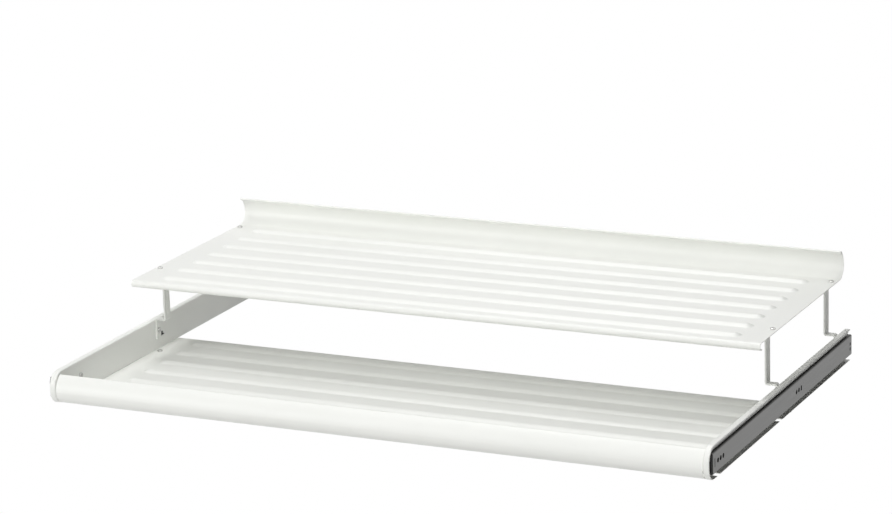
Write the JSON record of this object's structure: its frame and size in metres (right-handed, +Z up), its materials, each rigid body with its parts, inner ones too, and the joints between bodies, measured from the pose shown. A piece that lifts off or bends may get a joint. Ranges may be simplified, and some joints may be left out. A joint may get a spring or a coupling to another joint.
{
  "type": "pull out shoe rack",
  "caption": "Pull-out wardrobe shoe rack: two ribbed pressed-steel shelves stepped one above and behind the other, carried between folded side panels on ball-bearing slides.",
  "frame": {"origin": "middle of the footprint (width and depth), at the level of the lower shelf's rolled lip, the lowest edge of the rack", "axes": "+X to the right seen from the front, +Y to the back of the wardrobe, +Z up"},
  "size_m": [0.962, 0.56, 0.1693],
  "materials": {
    "white_steel": "fine satin powder coat",
    "slide_steel": "bright zinc-plated cold-rolled strip",
    "cage_steel": "zinc-plated thin strip",
    "ball_steel": "polished",
    "fastener_steel": "bright zinc",
    "black_nylon": "matt moulded"
  },
  "bodies": {
    "cabinet_rails": {"cabinet_rail_left": "slide_steel", "cabinet_rail_right": "slide_steel", "front_buffer_left": "black_nylon", "front_buffer_right": "black_nylon", "rear_buffer_left": "black_nylon", "rear_buffer_right": "black_nylon"},
    "rack": {"lower_shelf": "white_steel", "upper_shelf": "white_steel", "side_panel_left": "white_steel", "side_panel_right": "white_steel", "shelf_bracket_front_left": "white_steel", "shelf_bracket_front_right": "white_steel", "shelf_bracket_rear_left": "white_steel", "shelf_bracket_rear_right": "white_steel", "drawer_rail_left": "slide_steel", "drawer_rail_right": "slide_steel", "upper_shelf_screws": "fastener_steel", "lower_shelf_screws": "fastener_steel", "lower_shelf_nuts": "fastener_steel", "bracket_screws": "fastener_steel", "bracket_nuts": "fastener_steel", "drawer_rail_screws": "fastener_steel", "drawer_rail_nuts": "fastener_steel"},
    "cage_left": {"ball_cage_left": "cage_steel", "slide_balls_left": "ball_steel"},
    "cage_right": {"ball_cage_right": "cage_steel", "slide_balls_right": "ball_steel"}
  },
  "joints": [
    {"name": "rack_slide", "type": "slide", "parent": "cabinet_rails", "child": "rack", "axis": [0, -1, 0], "range_m": [0, 0.4]},
    {"name": "cage_left_slide", "type": "slide", "parent": "cabinet_rails", "child": "cage_left", "axis": [0, -1, 0], "range_m": [0, 0.2]},
    {"name": "cage_right_slide", "type": "slide", "parent": "cabinet_rails", "child": "cage_right", "axis": [0, -1, 0], "range_m": [0, 0.2]}
  ],
  "couplings": [
    {"joint": "cage_left_slide", "follows": "rack_slide", "ratio": 0.5},
    {"joint": "cage_right_slide", "follows": "rack_slide", "ratio": 0.5}
  ]
}
